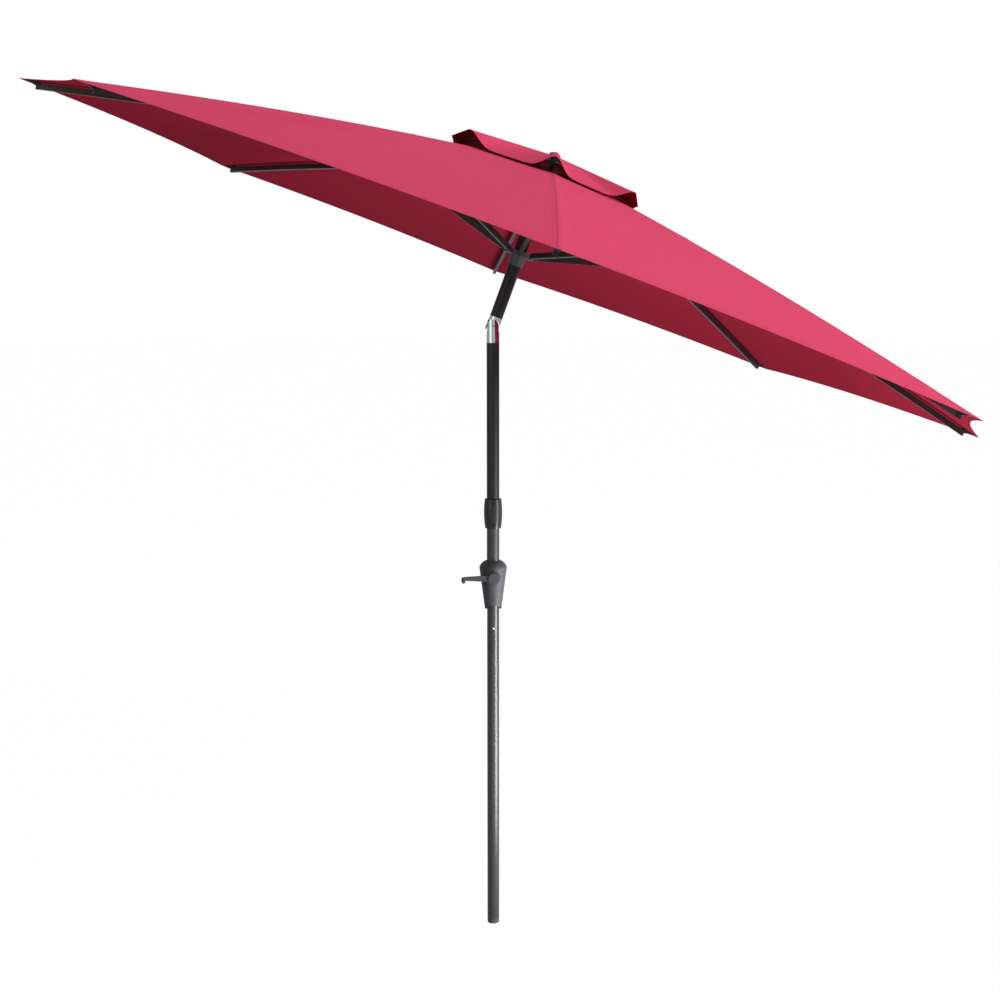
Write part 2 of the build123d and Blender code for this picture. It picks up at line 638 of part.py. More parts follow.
def vent_point(share, turn):
    # Point of the vent cloth: share runs from the finial to the hem, turn is the angle in radians
    gore = 2 * HALF_GORE
    k = int(turn / gore)
    past = turn - k * gore
    near_r, near_h = vent_corner(k)
    next_r, next_h = vent_corner(k + 1)
    corner_h = near_h + (next_h - near_h) * past / gore
    hem_r = near_r * next_r * sin(gore) / (near_r * sin(past) + next_r * sin(gore - past))
    hem = corner_h
    if k not in VENT_TAUT:
        # A slack hem draws in and droops to the canopy between its corners
        hem_r -= VENT_DIP * (1 - (past / HALF_GORE - 1) ** 2)
        lean = VENT_SHIFT * cos((k + 0.5) * gore)
        rest = gore_height(hem_r * cos(past - HALF_GORE) - lean) + VENT_LIFT
        aside = degrees(min(past, gore - past))
        hem = rest + (corner_h - rest) * exp(-(aside / VENT_LOBE) ** 2)
    radius = VENT_HOLE_R + (hem_r - VENT_HOLE_R) * share
    ridge = VENT_PEAK - (VENT_PEAK - corner_h) * share
    height = ridge - (corner_h - hem) * share ** 2
    return (radius * cos(turn) - VENT_SHIFT * share, radius * sin(turn), height)


def vent():
    # Pleated cone with its ridges over the ribs
    count = RIB_COUNT * VENT_STEPS
    turns = [2 * pi * k / count for k in range(count)]
    top = [[Vector(*vent_point(share, turn)) for turn in turns] for share in VENT_RINGS]
    low = [[point - Vector(0, 0, CLOTH) for point in ring] for ring in top]
    faces = []

    def patch(a, b, c, d):
        faces.append(Face(Wire.make_polygon([a, b, c])))
        faces.append(Face(Wire.make_polygon([a, c, d])))

    for k in range(count):
        n = (k + 1) % count
        for inner in range(len(VENT_RINGS) - 1):
            outer = inner + 1
            patch(top[inner][k], top[outer][k], top[outer][n], top[inner][n])
            patch(low[inner][k], low[inner][n], low[outer][n], low[outer][k])
        patch(top[-1][k], low[-1][k], low[-1][n], top[-1][n])
        patch(top[0][k], top[0][n], low[0][n], low[0][k])
    save("vent_canopy", MAST * Solid(Shell(faces)))


def runner():
    low = RUNNER_HEIGHT - HUB_FLANGE / 2
    hub = slotted_flange(RUNNER_HEIGHT)
    sleeve = Cone(RUNNER_LOW_D / 2, RUNNER_TOP_D / 2, RUNNER_SLEEVE, align=LOW)
    hub += Pos(0, 0, low - RUNNER_SLEEVE) * sleeve
    hub -= rod(POLE_R + RUNNER_GAP, low - RUNNER_SLEEVE, low + HUB_FLANGE)
    save("runner_hub", MAST * hub)
    save("runner_pins", MAST * group(pivot_pins(RUNNER_HEIGHT, 0)))


def eye(centre, reach, hole_r):
    # Flat pierced end of a rib or strut, lying along +X from its pivot
    flat = Circle(EYE_R) + Pos(reach / 2, 0) * Rectangle(reach, 2 * EYE_R)
    flat -= Circle(hole_r)
    return Pos(centre[0], 0, centre[1]) * extrude(Plane.XZ * flat, EYE_T / 2, both=True)


def turned(shape, centre, angle):
    # Turn about the tangential axis through a pivot, up at the outer end for a positive angle
    here = Pos(centre[0], 0, centre[1])
    back = Pos(-centre[0], 0, -centre[1])
    return here * Rot(0, -angle, 0) * back * shape


def bore_top(radius):
    return rib_top(radius) - RIB_WALL


def plug_top(radius):
    return bore_top(radius) - SEAT_GAP


def ribs():
    pin_r = PIVOT_PIN_D / 2 + RUN_GAP
    slope = degrees(atan2(rib_top(RIB_START) - rib_top(PIVOT_R), RIB_START - PIVOT_R))
    end = turned(eye(CROWN_PIVOT, RIB_START - PIVOT_R + EYE_R, pin_r), CROWN_PIVOT, slope)
    bar = banded(RIB_START, RIB_END, rib_top, RIB_DEPTH, RIB_WIDTH)
    bore_width = RIB_WIDTH - 2 * RIB_WALL
    bore_depth = RIB_DEPTH - 2 * RIB_WALL
    bar -= banded(RIB_START + EYE_R, RIB_END, bore_top, bore_depth, bore_width)
    bar += end

    # Clip under the rib with the ears that carry the strut's pin
    ear_in = RIB_WIDTH / 2 + SEAT_GAP
    ear_out = ear_in + BRACKET_T
    rise = rib_top(STRUT_REACH) - RIB_DEPTH / 2
    fall = degrees(RIB_FALL)
    pin_z = RIB_UNDER - BRACKET_DROP
    x0 = STRUT_REACH - BRACKET / 2
    x1 = STRUT_REACH + BRACKET / 2
    bridge_top = RIB_UNDER - 2 * SEAT_GAP
    clip = block(x0, x1, -ear_out, ear_out, bridge_top - BRACKET_T, bridge_top)
    strut_pin_r = STRUT_PIN_D / 2
    for side in (-1, 1):
        y0, y1 = sorted((side * ear_in, side * ear_out))
        clip += block(x0, x1, y0, y1, pin_z, rise)
        clip += rod_y(BRACKET / 2, y0, y1, x=STRUT_REACH, z=pin_z)
    clip -= rod_y(strut_pin_r + SEAT_GAP, -RIB_WIDTH, RIB_WIDTH, x=STRUT_REACH, z=pin_z)
    clip = turned(clip, (STRUT_REACH, RIB_UNDER), fall)
    pin = rod_y(strut_pin_r, -ear_out, ear_out, x=STRUT_REACH, z=pin_z)
    pin = turned(pin, (STRUT_REACH, RIB_UNDER), fall)

    # Moulded cap on the outer end, with a toe that reaches up to the corner of the cloth
    cap_end = RIB_END + TIP_CAP
    cap = banded(RIB_END, cap_end, rib_top, RIB_DEPTH, RIB_WIDTH)
    edge_off = TIP_TOE_WIDTH / 2 * sin(HALF_GORE)
    under = [(r, gore_height(r * cos(HALF_GORE) + edge_off) - CLOTH - SEAT_GAP)
             for r in (RIB_END, cap_end, TIP_TOE)]
    toe = Polyline((RIB_END, rib_top(RIB_END) - RIB_WALL), *under,
                   (cap_end, rib_top(cap_end) - RIB_DEPTH / 2), close=True)
    cap += extrude(Plane.XZ * make_face(toe), TIP_TOE_WIDTH / 2, both=True)
    plug_depth = bore_depth - 2 * SEAT_GAP
    plug_width = bore_width - 2 * SEAT_GAP
    cap += banded(RIB_END - TIP_PLUG, RIB_END, plug_top, plug_depth, plug_width)

    for k, pieces in enumerate(zip(around(bar), around(clip), around(pin), around(cap)), 1):
        save(f"rib_{k}", MAST * group(pieces))


def struts():
    pin_r = PIVOT_PIN_D / 2 + RUN_GAP
    reach = RIB_START - PIVOT_R + EYE_R
    near = eye(RUNNER_PIVOT, reach, pin_r)
    far_x = RUNNER_PIVOT[0] + STRUT_LENGTH
    z = RUNNER_PIVOT[1]
    far = eye((0, 0), reach, STRUT_PIN_D / 2 + STRUT_PIN_PLAY)
    far = Pos(far_x, 0, z) * Rot(0, 0, 180) * far
    x0 = RIB_START
    x1 = far_x - (RIB_START - PIVOT_R)
    bar = block(x0, x1, -STRUT_WIDTH / 2, STRUT_WIDTH / 2, z - STRUT_DEPTH / 2, z + STRUT_DEPTH / 2)
    core_y = STRUT_WIDTH / 2 - STRUT_WALL
    core_z = STRUT_DEPTH / 2 - STRUT_WALL
    bar -= block(x0 + EYE_R, x1 - EYE_R, -core_y, core_y, z - core_z, z + core_z)
    strut = turned(bar + near + far, RUNNER_PIVOT, STRUT_ANGLE)
    for k, piece in enumerate(around(strut), 1):
        save(f"strut_{k}", MAST * piece)


def canopy():
    # Each section is the two half gores that are sewn together along one rib
    c = cos(HALF_GORE)
    s = sin(HALF_GORE)
    inner = VENT_OPENING_R * c
    outer = CANOPY_R * c
    spare = 2 * HEM_DIP
    slab = banded(inner - spare, outer + spare, gore_height, CLOTH, 2 * CANOPY_R)
    hem_r = ((CANOPY_R * s) ** 2 + HEM_DIP ** 2) / (2 * HEM_DIP)
    middle_y = -CLOTH_GAP / 2
    quarter_y = -CANOPY_R * s / 2

    def hem(y):
        return (outer - HEM_DIP + hem_r - sqrt(hem_r ** 2 - y ** 2), y)

    corner = (outer, -CANOPY_R * s)
    edge = ThreePointArc(hem(middle_y), hem(quarter_y), corner)
    sides = Polyline(corner, (inner, -inner * s / c), (inner, middle_y), hem(middle_y))
    plan = extrude(Pos(0, 0, RIM_HEIGHT - spare) * make_face([edge, sides]), CROWN_HEIGHT)
    half = Rot(0, 0, degrees(HALF_GORE)) * (slab & plan)
    other = mirror(half, about=Plane.XZ)
    for k, pieces in enumerate(zip(around(half), around(other)), 1):
        save(f"canopy_section_{k}", MAST * group(pieces))


os.makedirs("parts", exist_ok=True)
lower_poles()
collar()
housing()
crank()
knuckle()
mast()
vent()
runner()
ribs()
struts()
canopy()
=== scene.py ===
import bpy
import bmesh
from math import cos, degrees, exp, pi, radians, sin, sqrt, tan
from mathutils import Matrix, Vector, noise


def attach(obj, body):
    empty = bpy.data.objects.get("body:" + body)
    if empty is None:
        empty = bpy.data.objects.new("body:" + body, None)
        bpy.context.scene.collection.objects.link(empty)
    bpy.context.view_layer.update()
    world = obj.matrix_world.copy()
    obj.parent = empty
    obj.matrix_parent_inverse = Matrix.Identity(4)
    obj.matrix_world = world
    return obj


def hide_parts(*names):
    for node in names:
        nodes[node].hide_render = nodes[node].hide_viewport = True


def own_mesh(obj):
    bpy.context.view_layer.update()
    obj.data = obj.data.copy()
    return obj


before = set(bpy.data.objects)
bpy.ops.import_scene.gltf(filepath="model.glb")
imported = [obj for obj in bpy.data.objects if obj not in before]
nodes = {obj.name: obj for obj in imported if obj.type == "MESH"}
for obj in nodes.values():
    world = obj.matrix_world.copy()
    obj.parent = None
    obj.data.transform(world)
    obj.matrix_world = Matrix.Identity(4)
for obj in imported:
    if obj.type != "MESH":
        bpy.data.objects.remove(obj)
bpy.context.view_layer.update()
scene = bpy.context.scene
print("frame loaded:", len(nodes), "nodes")

# The mast leans at the knuckle, so cloth is shaped upright and then leant over with it
mastSet = {"hinge": 1.918, "tilt": radians(20.2)}
mast = Matrix.Translation((0, 0, mastSet["hinge"])) @ Matrix.Rotation(mastSet["tilt"], 4, "Y")
ribCount = 8
ribNumbers = range(1, ribCount + 1)

cameraSet = {
    "place": (-0.1716, -4.2947, 2.0279),
    "pitch": 81.456,
    "heading": -2.575,
    "lens": 50.47,
    "sensor": 36.0,
    "reach": 200,
}


def addCamera():
    data = bpy.data.cameras.new("photoCamera")
    data.lens = cameraSet["lens"]
    data.sensor_width = cameraSet["sensor"]
    data.clip_end = cameraSet["reach"]
    camera = bpy.data.objects.new("photoCamera", data)
    camera.location = cameraSet["place"]
    camera.rotation_euler = (radians(cameraSet["pitch"]), 0, radians(cameraSet["heading"]))
    scene.collection.objects.link(camera)
    scene.camera = camera


addCamera()
print("camera set")


# Shader helpers
def addNode(tree, kind, x, y, **values):
    node = tree.nodes.new(kind)
    node.location = (x, y)
    for key, value in values.items():
        setattr(node, key, value)
    return node


def startGroup(name, inputs, outputs):
    tree = bpy.data.node_groups.new(name, "ShaderNodeTree")
    for label, kind, value in inputs:
        socket = tree.interface.new_socket(label, in_out="INPUT", socket_type=kind)
        if value is not None:
            socket.default_value = value
    for label, kind in outputs:
        tree.interface.new_socket(label, in_out="OUTPUT", socket_type=kind)
    start = addNode(tree, "NodeGroupInput", -900, 0)
    end = addNode(tree, "NodeGroupOutput", 700, 0)
    return tree, start, end


def mathNode(tree, operation, a, b, x, y, clamp=False):
    node = addNode(tree, "ShaderNodeMath", x, y, operation=operation, use_clamp=clamp)
    for index, value in enumerate((a, b)):
        if value is None:
            continue
        if isinstance(value, (int, float)):
            node.inputs[index].default_value = value
        else:
            tree.links.new(value, node.inputs[index])
    return node.outputs[0]


def rangeNode(tree, value, source, target, x, y, smooth=False):
    node = addNode(tree, "ShaderNodeMapRange", x, y)
    node.interpolation_type = "SMOOTHSTEP" if smooth else "LINEAR"
    tree.links.new(value, node.inputs["Value"])
    for label, number in zip(("From Min", "From Max", "To Min", "To Max"), (*source, *target)):
        node.inputs[label].default_value = number
    return node.outputs["Result"]


# Cloudy variation and a fine surface grain, for paint and moulded plastic
grainSet = {"grainScale": 900.0, "grainDetail": 3, "cloudScale": 9.0, "cloudDetail": 4}


def grainGroup():
    tree, start, end = startGroup(
        "surfaceGrain",
        [("Vector", "NodeSocketVector", None),
         ("Grain Scale", "NodeSocketFloat", grainSet["grainScale"]),
         ("Cloud Scale", "NodeSocketFloat", grainSet["cloudScale"])],
        [("Grain", "NodeSocketFloat"), ("Cloud", "NodeSocketFloat")])
    fine = addNode(tree, "ShaderNodeTexNoise", -500, 150)
    fine.inputs["Detail"].default_value = grainSet["grainDetail"]
    broad = addNode(tree, "ShaderNodeTexNoise", -500, -150)
    broad.inputs["Detail"].default_value = grainSet["cloudDetail"]
    for node, label in ((fine, "Grain Scale"), (broad, "Cloud Scale")):
        tree.links.new(start.outputs["Vector"], node.inputs["Vector"])
        tree.links.new(start.outputs[label], node.inputs["Scale"])
    tree.links.new(fine.outputs["Fac"], end.inputs["Grain"])
    tree.links.new(broad.outputs["Fac"], end.inputs["Cloud"])
    return tree


# Plain weave: two sets of yarns at right angles, with slubs
weaveSet = {
    "yarns": 700.0,
    "distortion": 0.6,
    "detail": 1,
    "slubStretch": (1.0, 14.0, 1.0),
    "slubScale": 26,
    "slubDetail": 5,
}


def weaveGroup():
    tree, start, end = startGroup(
        "plainWeave",
        [("Vector", "NodeSocketVector", None), ("Yarns", "NodeSocketFloat", weaveSet["yarns"])],
        [("Height", "NodeSocketFloat"), ("Slub", "NodeSocketFloat")])
    waves = []
    for axis, y in (("X", 200), ("Y", 0)):
        wave = addNode(tree, "ShaderNodeTexWave", -500, y, wave_type="BANDS", bands_direction=axis)
        wave.inputs["Distortion"].default_value = weaveSet["distortion"]
        wave.inputs["Detail"].default_value = weaveSet["detail"]
        tree.links.new(start.outputs["Vector"], wave.inputs["Vector"])
        tree.links.new(start.outputs["Yarns"], wave.inputs["Scale"])
        waves.append(wave.outputs["Fac"])
    height = mathNode(tree, "MULTIPLY", waves[0], waves[1], -200, 100)
    tree.links.new(height, end.inputs["Height"])
    stretch = addNode(tree, "ShaderNodeVectorMath", -700, -250, operation="MULTIPLY")
    stretch.inputs[1].default_value = weaveSet["slubStretch"]
    tree.links.new(start.outputs["Vector"], stretch.inputs[0])
    slub = addNode(tree, "ShaderNodeTexNoise", -500, -250)
    slub.inputs["Scale"].default_value = weaveSet["slubScale"]
    slub.inputs["Detail"].default_value = weaveSet["slubDetail"]
    tree.links.new(stretch.outputs[0], slub.inputs["Vector"])
    tree.links.new(slub.outputs["Fac"], end.inputs["Slub"])
    return tree


grain = grainGroup()
weave = weaveGroup()


def startMaterial(name):
    mat = bpy.data.materials.new(name)
    mat.use_nodes = True
    tree = mat.node_tree
    tree.nodes.clear()
    out = addNode(tree, "ShaderNodeOutputMaterial", 900, 0)
    bsdf = addNode(tree, "ShaderNodeBsdfPrincipled", 500, 0)
    tree.links.new(bsdf.outputs[0], out.inputs[0])
    return mat, tree, bsdf


def mixColour(tree, factor, a, b, x, y):
    node = addNode(tree, "ShaderNodeMix", x, y, data_type="RGBA")
    for socket, value in ((node.inputs[0], factor), (node.inputs[6], a), (node.inputs[7], b)):
        if isinstance(value, tuple):
            socket.default_value = (*value, 1)
        else:
            tree.links.new(value, socket)
    return node.outputs[2]


def bumpNode(tree, height, strength, distance, x, y, normal=None):
    node = addNode(tree, "ShaderNodeBump", x, y)
    node.inputs["Strength"].default_value = strength
    node.inputs["Distance"].default_value = distance
    tree.links.new(height, node.inputs["Height"])
    if normal is not None:
        tree.links.new(normal, node.inputs["Normal"])
    return node.outputs[0]


# Paint, plastic and metal: one recipe, with its own values for each finish
finishSet = {
    "poleGrey": {
        "colour": (0.037, 0.041, 0.045), "dark": (0.031, 0.034, 0.038),
        "rough": (0.27, 0.34), "metallic": 0.0, "specular": 0.50,
        "grain": 1500, "cloud": 7, "bump": 0.00002,
    },
    "poleBlack": {
        "colour": (0.022, 0.022, 0.024), "dark": (0.017, 0.017, 0.019),
        "rough": (0.30, 0.38), "metallic": 0.0, "specular": 0.30,
        "grain": 1500, "cloud": 7, "bump": 0.00003,
    },
    "ribPaint": {
        "colour": (0.017, 0.018, 0.019), "dark": (0.012, 0.013, 0.014),
        "rough": (0.30, 0.42), "metallic": 0.0, "specular": 0.75,
        "grain": 1700, "cloud": 12, "bump": 0.00003,
    },
    "tipCap": {
        "colour": (0.055, 0.057, 0.060), "dark": (0.042, 0.044, 0.047),
        "rough": (0.45, 0.55), "metallic": 0.0, "specular": 0.30,
        "grain": 2400, "cloud": 30, "bump": 0.00005,
    },
    "darkPlastic": {
        "colour": (0.066, 0.069, 0.075), "dark": (0.057, 0.060, 0.066),
        "rough": (0.46, 0.56), "metallic": 0.0, "specular": 0.22,
        "grain": 2600, "cloud": 22, "bump": 0.00006,
    },
    "hubPlastic": {
        "colour": (0.090, 0.094, 0.098), "dark": (0.075, 0.079, 0.083),
        "rough": (0.38, 0.48), "metallic": 0.0, "specular": 0.40,
        "grain": 2600, "cloud": 30, "bump": 0.00005,
    },
    "glossPlastic": {
        "colour": (0.024, 0.025, 0.026), "dark": (0.019, 0.020, 0.021),
        "rough": (0.20, 0.27), "metallic": 0.0, "specular": 0.40,
        "grain": 2600, "cloud": 22, "bump": 0.00003,
    },
    "blackPlastic": {
        "colour": (0.012, 0.012, 0.013), "dark": (0.009, 0.009, 0.010),
        "rough": (0.40, 0.52), "metallic": 0.0, "specular": 0.25,
        "grain": 2600, "cloud": 22, "bump": 0.00006,
    },
    "brightSteel": {
        "colour": (0.93, 0.93, 0.94), "dark": (0.88, 0.88, 0.89),
        "rough": (0.10, 0.16), "metallic": 1.0, "specular": 0.5,
        "grain": 1800, "cloud": 60, "bump": 0.00001,
    },
    "polished": {
        "colour": (0.65, 0.69, 0.70), "dark": (0.60, 0.64, 0.65),
        "rough": (0.06, 0.13), "metallic": 1.0, "specular": 0.5,
        "grain": 900, "cloud": 40, "bump": 0.00001,
    },
    "plated": {
        "colour": (0.50, 0.50, 0.51), "dark": (0.40, 0.40, 0.41),
        "rough": (0.24, 0.36), "metallic": 1.0, "specular": 0.5,
        "grain": 1800, "cloud": 60, "bump": 0.00002,
    },
}
# the cloud's levels between which colour and roughness change
cloudBand = {"colour": (0.35, 0.65), "rough": (0.3, 0.7)}


def finishMaterial(name):
    look = finishSet[name]
    mat, tree, bsdf = startMaterial(name)
    bsdf.inputs["Metallic"].default_value = look["metallic"]
    bsdf.inputs["Specular IOR Level"].default_value = look["specular"]
    coords = addNode(tree, "ShaderNodeTexCoord", -900, 0)
    surface = addNode(tree, "ShaderNodeGroup", -600, 0, node_tree=grain)
    surface.inputs["Grain Scale"].default_value = look["grain"]
    surface.inputs["Cloud Scale"].default_value = look["cloud"]
    tree.links.new(coords.outputs["Object"], surface.inputs["Vector"])
    share = rangeNode(tree, surface.outputs["Cloud"], cloudBand["colour"], (0, 1), -300, 100)
    colour = mixColour(tree, share, look["dark"], look["colour"], 0, 200)
    tree.links.new(colour, bsdf.inputs["Base Color"])
    rough = rangeNode(tree, surface.outputs["Cloud"], cloudBand["rough"], look["rough"], 0, 0)
    tree.links.new(rough, bsdf.inputs["Roughness"])
    normal = bumpNode(tree, surface.outputs["Grain"], 1.0, look["bump"], 200, -200)
    tree.links.new(normal, bsdf.inputs["Normal"])
    return mat


finishes = {name: finishMaterial(name) for name in finishSet}

nodeFinish = {
    "poleGrey": ["lower_pole", "crank_pole"],
    "poleBlack": ["middle_pole", "upper_pole"],
    "darkPlastic": ["foot_plug", "housing_front", "housing_back", "crank_arm", "crank_knob",
                    "lift_pulley", "winding_drum"],
    "hubPlastic": ["runner_hub", "crown_hub", "vent_hub"],
    "tipCap": ["finial", "crank_screw"],
    "glossPlastic": ["pole_collar"],
    "blackPlastic": ["tilt_button", "collar_screws"],
    "polished": ["knuckle_lower", "knuckle_upper"],
    "brightSteel": ["snap_button"],
    "plated": ["tilt_pin", "housing_screws", "crank_shaft", "snap_leaf", "button_spring",
               "crown_pins", "runner_pins", "pulley_pin", "pole_spigot", "joining_sleeve"],
    "ribPaint": ["vent_stays", *(f"{bar}_{k}" for bar in ("rib", "strut") for k in ribNumbers)],
}


def paintNodes():
    for finish, names in nodeFinish.items():
        for name in names:
            mesh = nodes[name].data
            mesh.materials.clear()
            mesh.materials.append(finishes[finish])
    # the moulded cap on each rib's outer end
    toMast = mast.inverted()
    for k in ribNumbers:
        mesh = nodes[f"rib_{k}"].data
        mesh.materials.append(finishes["tipCap"])
        for face in mesh.polygons:
            spot = toMast @ face.center
            if spot.xy.length > canopySet["capStart"]:
                face.material_index = 1


canopySet = {
    "radius": 1.55,        # corner to mast
    "rim": 0.197,          # heights above the hinge, along the mast
    "crown": 0.509,
    "bow": 0.017,
    "hemDip": 0.033,
    "hemSteps": 6,
    "opening": 0.25,
    "cloth": 0.0008,       # thickness
    "rows": 420,
    "columns": 24,         # in each half gore
    "seamColumns": 4,
    "seamHalf": 0.007,
    "seamRise": 0.0007,
    "seamSlope": 2,        # flat over half its width, then sloping
    "hemRows": 8,
    "hemWidth": 0.022,
    "hemRise": 0.0006,
    "sag": 0.004,          # between the ribs; the hem is taut
    "pucker": 0.0060,      # tension wrinkles beside the seams
    "puckerLength": 0.045,
    "puckerStart": 0.09,
    "puckerReach": 0.26,
    "puckerSlant": 0.12,
    "puckerBend": 3,
    "puckerEnd": 0.8,      # share of the way to the hem where they begin to fade
    "bendScale": (5, 7.1, 4),
    "patchScale": (2.3, 3.7, 1.9),
    "patchBase": 0.25,     # puckers come in patches
    "ring": 0.52,          # seam around the crown, from the mast along a gore's middle
    "ringHalf": 0.010,
    "ringRise": 0.0008,
    "capStart": 1.4835,    # from the mast to the ribs' tip caps
    "slack": 0.974,        # width left when the ribs fold down
}
halfGore = pi / ribCount


def clothHeight(radius):
    share = radius / canopySet["radius"]
    slope = canopySet["rim"] + (canopySet["crown"] - canopySet["rim"]) * (1 - share)
    return slope + canopySet["bow"] * 4 * share * (1 - share)   # a parabola, highest halfway


def goreHeight(distance):
    return clothHeight(distance / cos(halfGore))


def hemDistance(share):
    # distance from the mast to the hem, measured along the gore's middle line;
    # share runs from the rib to that line
    edge = canopySet["radius"] * cos(halfGore)
    half = canopySet["radius"] * sin(halfGore)
    hemRadius = (half ** 2 + canopySet["hemDip"] ** 2) / (2 * canopySet["hemDip"])
    distance = edge
    for step in range(canopySet["hemSteps"]):
        aside = (1 - share) * distance * tan(halfGore)
        distance = edge - canopySet["hemDip"] + hemRadius - sqrt(hemRadius ** 2 - aside ** 2)
    return distance


def sectionPoint(gridX, gridY):
    # gridX runs across the section from -1 to 1 with the rib at 0,
    # gridY from the opening to the hem
    s = canopySet
    side = -1 if gridX < 0 else 1
    across = abs(gridX)
    along = (gridY + 1) / 2
    seamShare = s["seamColumns"] / s["columns"]
    inner = s["opening"] * cos(halfGore)

    def rowShare(distance):
        seam = s["seamHalf"] / (distance * tan(halfGore) * cos(halfGore))
        if across <= seamShare:
            return seam * across / seamShare
        return seam + (1 - seam) * (across - seamShare) / (1 - seamShare)

    hem = hemDistance(rowShare(s["radius"] * cos(halfGore)))
    hemShare = 1 - s["hemRows"] / s["rows"]
    if along >= hemShare:
        distance = hem - s["hemWidth"] * (1 - (along - hemShare) / (1 - hemShare))
    else:
        distance = inner + (hem - s["hemWidth"] - inner) * along / hemShare
    share = rowShare(distance)
    width = distance * tan(halfGore)
    fromRib = share * width * cos(halfGore)

    height = goreHeight(distance)
    if across < seamShare:
        height += s["seamRise"] * min(1, s["seamSlope"] * (1 - across / seamShare))
    if along > hemShare:
        height += s["hemRise"]
    height += s["ringRise"] * exp(-((distance - s["ring"]) / s["ringHalf"]) ** 2)
    run = (distance - inner) / (hem - inner)
    height -= s["sag"] * sin(share * pi / 2) * sin(pi * min(1, max(0, run)))
    # puckers run nearly square to the seam and die out before the gore's middle
    reach = max(0, 1 - fromRib / s["puckerReach"]) * (1 - share) ** 2
    reach *= min(1, fromRib / s["puckerStart"]) ** 2
    bend = noise.noise(Vector((distance, side, fromRib)) * Vector(s["bendScale"]))
    phase = 2 * pi * (distance - s["puckerSlant"] * fromRib) / s["puckerLength"]
    wave = sin(phase + s["puckerBend"] * bend)
    patch = noise.noise(Vector((distance, side, 1)) * Vector(s["patchScale"]))
    strength = max(0, patch + s["patchBase"])
    fade = 1 - max(0, run - s["puckerEnd"]) / (1 - s["puckerEnd"])
    height += s["pucker"] * wave * reach * strength * fade

    angle = side * halfGore
    aside = -side * (width - share * width)
    x = distance * cos(angle) - aside * sin(angle)
    y = distance * sin(angle) + aside * cos(angle)
    return Vector((x, y, height)), (side * fromRib, distance), hem - distance


def turnAbout(k):
    return Matrix.Rotation((k - 1) * 2 * halfGore, 4, "Z")


def clothMesh(columns, rows, shape):
    bm = bmesh.new()
    uvLayer = bm.loops.layers.uv.new("clothUv")
    hemLayer = bm.verts.layers.float.new("hemGap")
    bmesh.ops.create_grid(bm, x_segments=columns, y_segments=rows, size=1)
    flat = {}
    for vert in bm.verts:
        spot, uv, gap = shape(vert.co.x, vert.co.y)
        vert.co = spot
        vert[hemLayer] = gap
        flat[vert.index] = uv
    bm.verts.index_update()
    for face in bm.faces:
        face.smooth = True
        for loop in face.loops:
            loop[uvLayer].uv = flat[loop.vert.index]
    return bm


def finishCloth(bm, name, body, node, paintedUnderside):
    bmesh.ops.recalc_face_normals(bm, faces=bm.faces)
    if sum(face.normal.z for face in bm.faces) < 0:
        bmesh.ops.reverse_faces(bm, faces=bm.faces)
    area = sum(face.calc_area() for face in bm.faces)
    for edge in bm.edges:
        edge.smooth = not edge.is_boundary
    mesh = bpy.data.meshes.new(name)
    bm.to_mesh(mesh)
    bm.free()
    mesh.transform(mast)
    piece = bpy.data.objects.new(name, mesh)
    scene.collection.objects.link(piece)
    mesh.materials.append(clothLook)
    # the inner faces take the second material: a painted-light copy of the cloth, or painted shade
    # inside the vent
    mesh.materials.append(paintedUnderside)
    thick = piece.modifiers.new("clothThickness", "SOLIDIFY")
    thick.thickness = canopySet["cloth"]
    thick.offset = -1
    thick.material_offset = 1
    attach(piece, body)
    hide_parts(node)
    return piece


clothSet = {
    "outside": {
        "colour": (0.640, 0.055, 0.132), "dark": (0.590, 0.047, 0.115), "specular": 0.14},
    # the inside is the same cloth; its darker, deeper red is painted light, standing in for red
    # light shining through and bouncing under the canopy
    "inside": {
        "colour": (0.600, 0.037, 0.082), "dark": (0.550, 0.032, 0.072), "specular": 0.03},
    # the vent's inside is near-black red: painted shade where the vent sits close over the canopy
    "ventShadePainted": {
        "colour": (0.200, 0.009, 0.020), "dark": (0.180, 0.008, 0.018), "specular": 0.03},
    "dyeBand": (0.32, 0.68),
    "rough": (0.86, 0.96),
    "roughBand": (0.3, 0.7),
    "yarns": 900,
    "weaveBump": (0.5, 0.0002),       # strength, distance
    "stitch": (0.450, 0.032, 0.080),
    "stitchLine": 0.005,              # from the seam's middle
    "hemLine": 0.9,                   # share of the hem's width
    "stitchWidth": (0.0004, 0.0008),
    "stitchPitch": 260,               # stitches to the metre
    "stitchGap": 0.3,
    "stitchBump": (0.8, 0.0004),
    "ringBand": (0.003, 0.014),
    "ringTint": 0.18,
}


